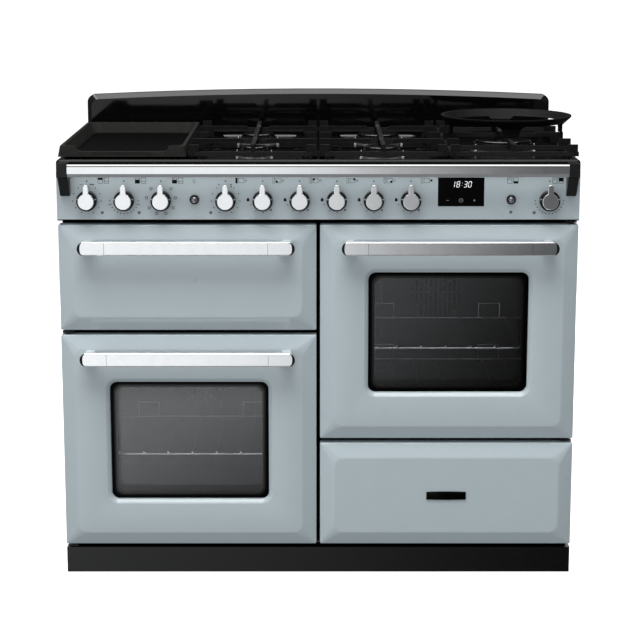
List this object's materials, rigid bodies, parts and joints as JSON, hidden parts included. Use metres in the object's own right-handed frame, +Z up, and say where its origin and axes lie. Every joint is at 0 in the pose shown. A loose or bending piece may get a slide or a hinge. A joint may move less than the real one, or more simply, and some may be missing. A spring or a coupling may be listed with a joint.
{
  "type": "range cooker",
  "caption": "Free-standing range cooker with a gas hob, griddle, wok cradle, glide-out grill, storage drawer and side-hung oven doors behind bevelled enamelled fronts.",
  "frame": {"origin": "on the floor, under the middle of the cooker's bounding box", "axes": "+X to the right seen from the front, +Y to the back, +Z up"},
  "size_m": [1.1052, 0.648, 1.0029],
  "materials": {
    "enamel": "pale grey-blue gloss enamel",
    "black_enamel": "gloss black vitreous enamel",
    "oven_enamel": "dark grey oven enamel",
    "black_trim": "satin black",
    "galvanised": "galvanised sheet",
    "chrome": "polished chrome",
    "cast_iron": "matt black enamelled casting",
    "burner_alloy": "satin",
    "brass": "machined",
    "glass": "tinted clear",
    "ceramic_glass": "black glass-ceramic",
    "display": "gloss black",
    "switch_plastic": "matt moulded",
    "seal": "matt",
    "wire": "bright wire",
    "element": "dark oxidised"
  },
  "bodies": {
    "cooker_body": {"plinth": "black_trim", "levelling_feet": "black_trim", "side_panels": "black_trim", "back_panel": "galvanised", "base_pan": "galvanised", "front_frame": "black_enamel", "control_panel": "enamel", "hob_tray": "black_enamel", "upstand": "black_enamel", "handrail_bar": "chrome", "handrail_brackets": "black_trim", "clock_display": "display", "left_oven_cavity": "oven_enamel", "right_oven_cavity": "oven_enamel", "grill_cavity": "oven_enamel", "burner_crowns": "burner_alloy", "burner_caps": "black_enamel", "gas_rail": "brass", "oven_switches": "switch_plastic", "control_bezels": "black_trim", "griddle_hotplate": "ceramic_glass", "oven_fan_units": "oven_enamel", "heating_elements": "element", "oven_racking": "wire", "runner_rails": "galvanised", "hinge_brackets": "black_trim", "oven_door_seals": "seal"},
    "left_oven_door": {"left_door_panel": "enamel", "left_door_glass": "glass", "left_door_liner": "oven_enamel", "left_door_handle": "chrome"},
    "right_oven_door": {"right_door_panel": "enamel", "right_door_glass": "glass", "right_door_liner": "oven_enamel", "right_door_handle": "chrome"},
    "grill_drawer": {"grill_front": "enamel", "grill_handle": "chrome", "grill_carriage": "galvanised", "grill_pan": "oven_enamel"},
    "lower_drawer": {"drawer_front": "enamel", "drawer_box": "galvanised"},
    "left_oven_fan": {"left_fan": "galvanised"},
    "right_oven_fan": {"right_fan": "galvanised"},
    "griddle_tray": {"griddle": "cast_iron"},
    "left_support": {"pan_support_left": "cast_iron"},
    "centre_support": {"pan_support_centre": "cast_iron"},
    "right_support": {"pan_support_right": "cast_iron"},
    "wok_cradle": {"wok_ring": "cast_iron"},
    "light_push": {"light_button": "chrome"},
    "warmer_push": {"drawer_warmer_button": "chrome"},
    "grill_knob_turn": {"grill_knob": "chrome"},
    "left_oven_temperature_knob_turn": {"left_oven_temperature_knob": "chrome"},
    "left_oven_function_knob_turn": {"left_oven_function_knob": "chrome"},
    "hotplate_knob_turn": {"hotplate_knob": "chrome"},
    "burner_knob_1_turn": {"burner_knob_1": "chrome"},
    "burner_knob_2_turn": {"burner_knob_2": "chrome"},
    "burner_knob_3_turn": {"burner_knob_3": "chrome"},
    "burner_knob_4_turn": {"burner_knob_4": "chrome"},
    "burner_knob_5_turn": {"burner_knob_5": "chrome"},
    "right_oven_knob_turn": {"right_oven_knob": "chrome"}
  },
  "joints": [
    {"name": "left_door_hinge", "type": "hinge", "parent": "cooker_body", "child": "left_oven_door", "pos_m": [-0.532, -0.26, 0.299], "axis": [0, 0, -1], "range_deg": [0, 100]},
    {"name": "right_door_hinge", "type": "hinge", "parent": "cooker_body", "child": "right_oven_door", "pos_m": [0.532, -0.26, 0.5355], "axis": [0, 0, 1], "range_deg": [0, 100]},
    {"name": "grill_slide", "type": "slide", "parent": "cooker_body", "child": "grill_drawer", "axis": [0, -1, 0], "range_m": [0, 0.28]},
    {"name": "drawer_slide", "type": "slide", "parent": "cooker_body", "child": "lower_drawer", "axis": [0, -1, 0], "range_m": [0, 0.32]},
    {"name": "grill_knob_spin", "type": "hinge", "parent": "cooker_body", "child": "grill_knob_turn", "pos_m": [-0.4825, -0.295, 0.819], "axis": [0, 1, 0], "range_deg": [-150, 150]},
    {"name": "left_oven_temperature_knob_spin", "type": "hinge", "parent": "cooker_body", "child": "left_oven_temperature_knob_turn", "pos_m": [-0.4052, -0.295, 0.819], "axis": [0, 1, 0], "range_deg": [0, 270]},
    {"name": "left_oven_function_knob_spin", "type": "hinge", "parent": "cooker_body", "child": "left_oven_function_knob_turn", "pos_m": [-0.3279, -0.295, 0.819], "axis": [0, 1, 0], "continuous": true},
    {"name": "hotplate_knob_spin", "type": "hinge", "parent": "cooker_body", "child": "hotplate_knob_turn", "pos_m": [-0.19325, -0.295, 0.819], "axis": [0, 1, 0], "range_deg": [-150, 150]},
    {"name": "burner_knob_1_spin", "type": "hinge", "parent": "cooker_body", "child": "burner_knob_1_turn", "pos_m": [-0.11595, -0.295, 0.819], "axis": [0, -1, 0], "range_deg": [0, 225]},
    {"name": "burner_knob_2_spin", "type": "hinge", "parent": "cooker_body", "child": "burner_knob_2_turn", "pos_m": [-0.03865, -0.295, 0.819], "axis": [0, -1, 0], "range_deg": [0, 225]},
    {"name": "burner_knob_3_spin", "type": "hinge", "parent": "cooker_body", "child": "burner_knob_3_turn", "pos_m": [0.03865, -0.295, 0.819], "axis": [0, -1, 0], "range_deg": [0, 225]},
    {"name": "burner_knob_4_spin", "type": "hinge", "parent": "cooker_body", "child": "burner_knob_4_turn", "pos_m": [0.11595, -0.295, 0.819], "axis": [0, -1, 0], "range_deg": [0, 225]},
    {"name": "burner_knob_5_spin", "type": "hinge", "parent": "cooker_body", "child": "burner_knob_5_turn", "pos_m": [0.19325, -0.295, 0.819], "axis": [0, -1, 0], "range_deg": [0, 225]},
    {"name": "right_oven_knob_spin", "type": "hinge", "parent": "cooker_body", "child": "right_oven_knob_turn", "pos_m": [0.4825, -0.295, 0.819], "axis": [0, 1, 0], "range_deg": [0, 270]},
    {"name": "light_press", "type": "slide", "parent": "cooker_body", "child": "light_push", "axis": [0, 1, 0], "range_m": [0, 0.003], "stiffness_N_per_m": 400},
    {"name": "warmer_press", "type": "slide", "parent": "cooker_body", "child": "warmer_push", "axis": [0, 1, 0], "range_m": [0, 0.003], "stiffness_N_per_m": 400},
    {"name": "left_fan_spin", "type": "hinge", "parent": "cooker_body", "child": "left_oven_fan", "pos_m": [-0.27475, 0.18, 0.302], "axis": [0, -1, 0], "continuous": true},
    {"name": "right_fan_spin", "type": "hinge", "parent": "cooker_body", "child": "right_oven_fan", "pos_m": [0.27475, 0.18, 0.5385], "axis": [0, -1, 0], "continuous": true},
    {"name": "griddle_lift", "type": "slide", "parent": "cooker_body", "child": "griddle_tray", "axis": [0, 0, 1], "range_m": [0, 0.2]},
    {"name": "left_support_lift", "type": "slide", "parent": "cooker_body", "child": "left_support", "axis": [0, 0, 1], "range_m": [0, 0.2]},
    {"name": "centre_support_lift", "type": "slide", "parent": "cooker_body", "child": "centre_support", "axis": [0, 0, 1], "range_m": [0, 0.2]},
    {"name": "right_support_lift", "type": "slide", "parent": "cooker_body", "child": "right_support", "axis": [0, 0, 1], "range_m": [0, 0.2]},
    {"name": "wok_cradle_lift", "type": "slide", "parent": "right_support", "child": "wok_cradle", "axis": [0, 0, 1], "range_m": [0, 0.15]}
  ]
}
